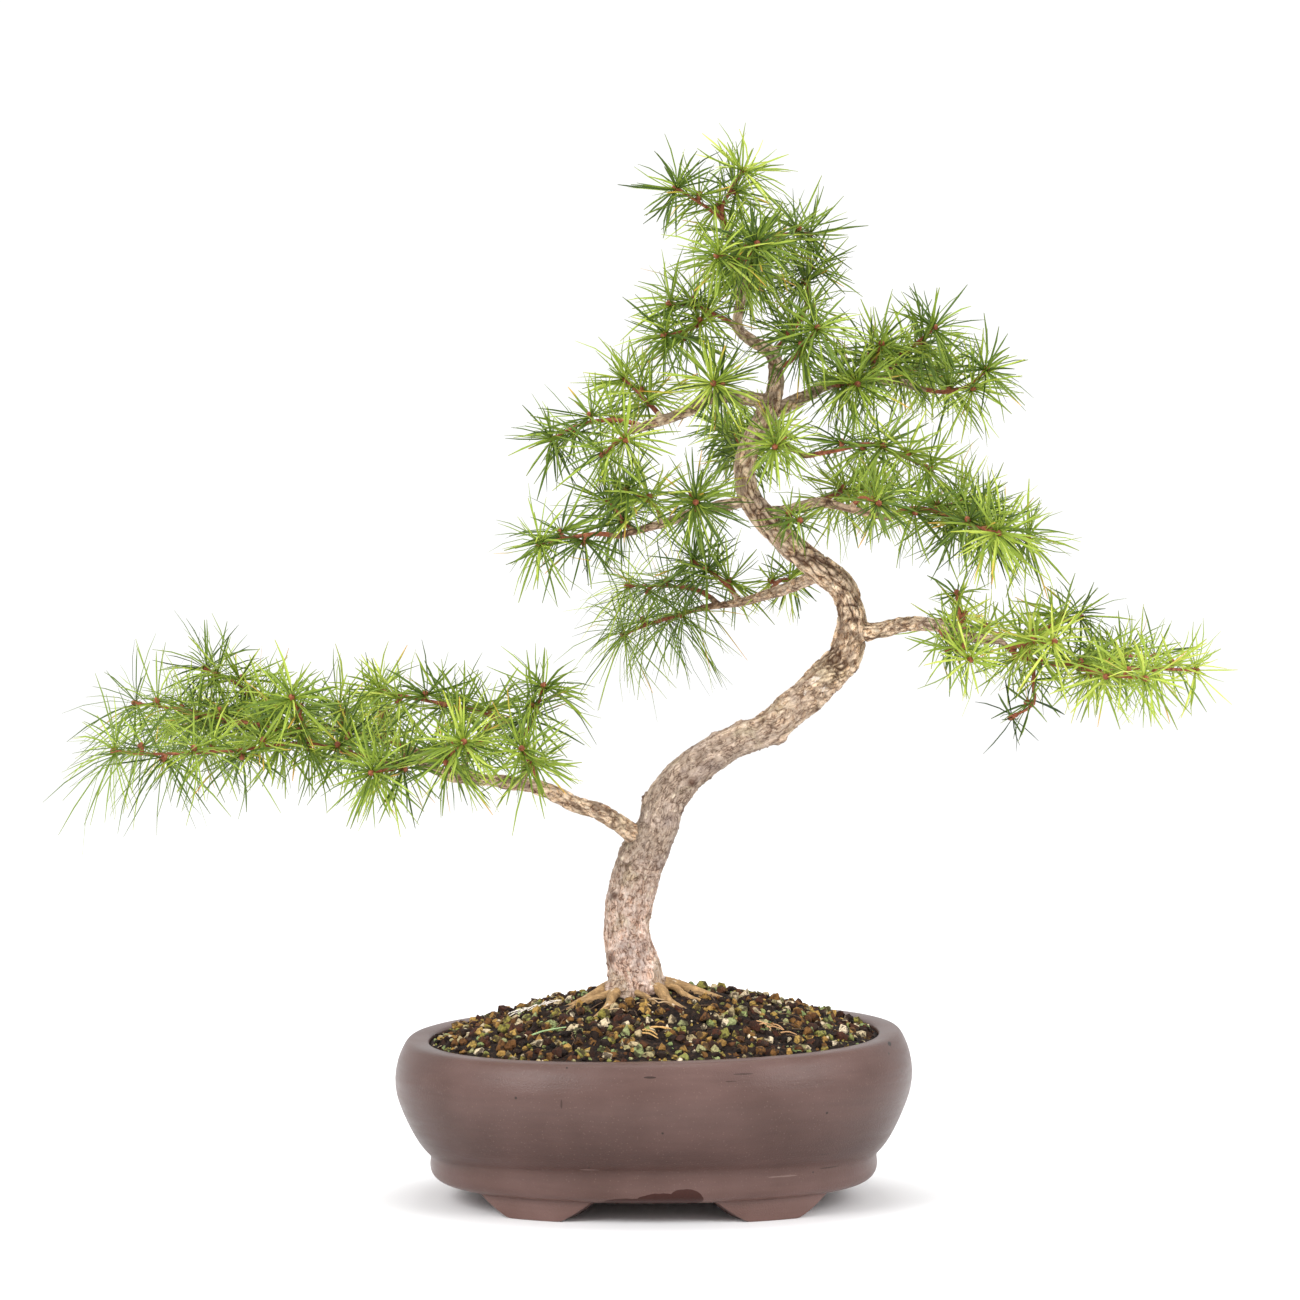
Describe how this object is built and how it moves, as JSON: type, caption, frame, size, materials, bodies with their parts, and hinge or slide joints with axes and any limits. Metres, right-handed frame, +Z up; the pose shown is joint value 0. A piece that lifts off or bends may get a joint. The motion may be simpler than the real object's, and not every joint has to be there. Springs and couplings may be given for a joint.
{
  "type": "larch bonsai",
  "caption": "Larch bonsai with a curved trunk, spreading boughs and tufts of needles, planted in an oval clay pot that stands on low feet.",
  "frame": {"origin": "under the middle of the whole object's bounding box, on the surface that the pot's feet stand on", "axes": "+X along the pot's length and the tree's widest spread, to the viewer's right; +Y from the front of the tree to its back; +Z up"},
  "size_m": [0.5628, 0.2444, 0.5264],
  "materials": {
    "clay": "matte",
    "soil": "matte",
    "screen_plastic": "matte",
    "bark": "matte",
    "needles": "satin"
  },
  "bodies": {
    "root": {"drain_screen_left": "screen_plastic", "drain_screen_right": "screen_plastic", "pot": "clay", "soil": "soil", "spray_back_high": "needles", "spray_crown_apex": "needles", "spray_crown_back": "needles", "spray_crown_front": "needles", "spray_crown_left": "needles", "spray_crown_right": "needles", "spray_low_left_back": "needles", "spray_low_left_behind": "needles", "spray_low_left_front": "needles", "spray_low_left_inner": "needles", "spray_low_left_tip": "needles", "spray_low_left_top": "needles", "spray_low_left_under": "needles", "spray_low_left_upper": "needles", "spray_low_right_back": "needles", "spray_low_right_front": "needles", "spray_low_right_tip": "needles", "spray_low_right_upright": "needles", "spray_mid_right_front": "needles", "spray_mid_right_tip": "needles", "spray_second_left_inner": "needles", "spray_second_left_mid": "needles", "spray_second_left_tip": "needles", "spray_second_left_upper": "needles", "spray_second_right_back": "needles", "spray_second_right_inner": "needles", "spray_second_right_mid": "needles", "spray_second_right_tip": "needles", "spray_shoulder_right": "needles", "spray_shoulder_up": "needles", "spray_third_left_inner": "needles", "spray_third_left_tip": "needles", "spray_third_left_top": "needles", "spray_third_left_upper": "needles", "spray_upper_left_far": "needles", "spray_upper_left_front": "needles", "spray_upper_left_tip": "needles", "spray_upper_left_top": "needles", "spray_upper_right_back": "needles", "spray_upper_right_front": "needles", "spray_upper_right_mid": "needles", "spray_upper_right_tip": "needles", "spray_upper_right_top": "needles", "wood": "bark"}
  },
  "joints": []
}
